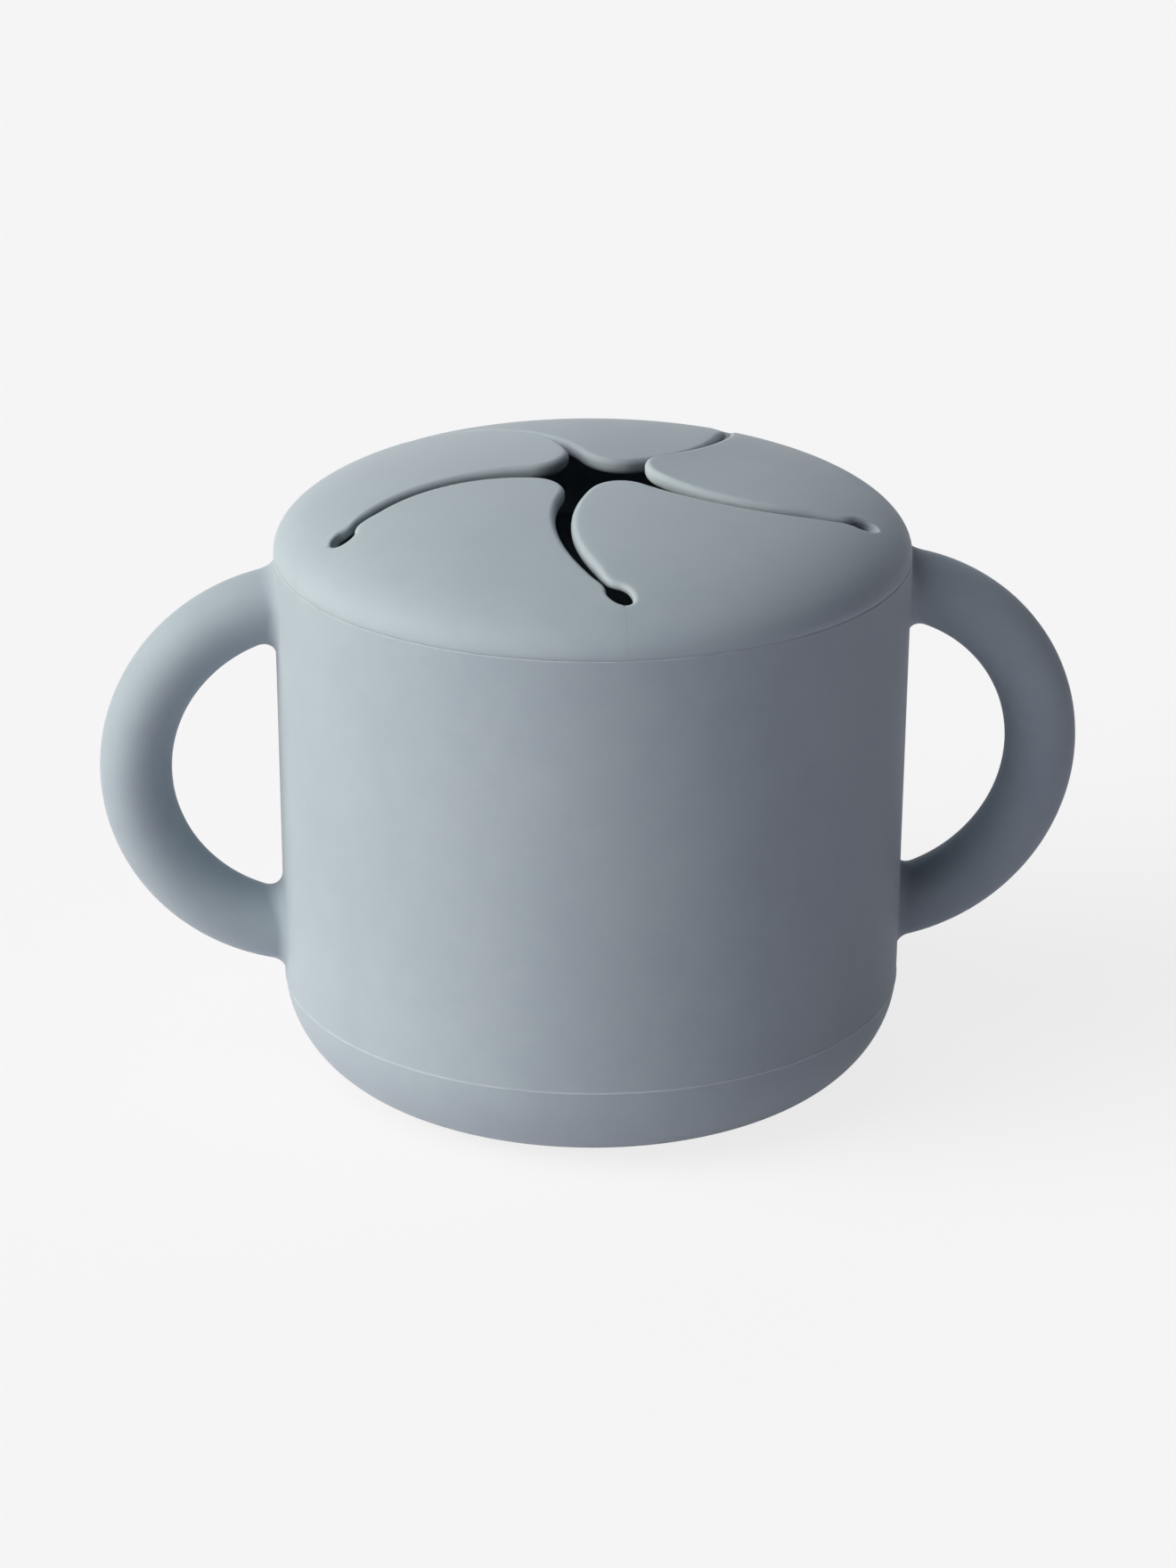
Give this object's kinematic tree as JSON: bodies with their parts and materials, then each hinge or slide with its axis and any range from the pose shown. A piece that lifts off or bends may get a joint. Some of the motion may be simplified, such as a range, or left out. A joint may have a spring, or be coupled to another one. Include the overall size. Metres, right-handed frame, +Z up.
{
  "type": "toddler snack cup",
  "caption": "Soft silicone toddler snack cup with round loop handles at both sides and a push-in domed lid whose top is cut into curved petals for small hands.",
  "frame": {"origin": "middle of the foot, on the table", "axes": "+X through the handles, +Y towards the back, +Z up; one relief hole of the lid faces -Y, between the handles"},
  "size_m": [0.1404, 0.09, 0.0891],
  "materials": {
    "cup_silicone": "matt moulded food-grade silicone, blue-grey",
    "lid_silicone": "matt moulded food-grade silicone, blue-grey"
  },
  "bodies": {
    "cup": {"cup": "cup_silicone"},
    "lid": {"lid_rim": "lid_silicone"},
    "petal_1": {"petal_1": "lid_silicone"},
    "petal_2": {"petal_2": "lid_silicone"},
    "petal_3": {"petal_3": "lid_silicone"},
    "petal_4": {"petal_4": "lid_silicone"},
    "petal_5": {"petal_5": "lid_silicone"}
  },
  "joints": [
    {"name": "lid_lift", "type": "slide", "parent": "cup", "child": "lid", "axis": [0, 0, 1], "range_m": [0, 0.04]},
    {"name": "petal_1_bend", "type": "hinge", "parent": "lid", "child": "petal_1", "pos_m": [0.01788, -0.02461, 0.08451], "axis": [0.809, 0.5878, 0], "range_deg": [-55, 40], "stiffness_Nm_per_rad": 0.02},
    {"name": "petal_2_bend", "type": "hinge", "parent": "lid", "child": "petal_2", "pos_m": [0.02893, 0.0094, 0.08451], "axis": [-0.309, 0.9511, 0], "range_deg": [-55, 40], "stiffness_Nm_per_rad": 0.02},
    {"name": "petal_3_bend", "type": "hinge", "parent": "lid", "child": "petal_3", "pos_m": [0, 0.03042, 0.08451], "axis": [-1, 0, 0], "range_deg": [-55, 40], "stiffness_Nm_per_rad": 0.02},
    {"name": "petal_4_bend", "type": "hinge", "parent": "lid", "child": "petal_4", "pos_m": [-0.02893, 0.0094, 0.08451], "axis": [-0.309, -0.9511, 0], "range_deg": [-55, 40], "stiffness_Nm_per_rad": 0.02},
    {"name": "petal_5_bend", "type": "hinge", "parent": "lid", "child": "petal_5", "pos_m": [-0.01788, -0.02461, 0.08451], "axis": [0.809, -0.5878, 0], "range_deg": [-55, 40], "stiffness_Nm_per_rad": 0.02}
  ]
}
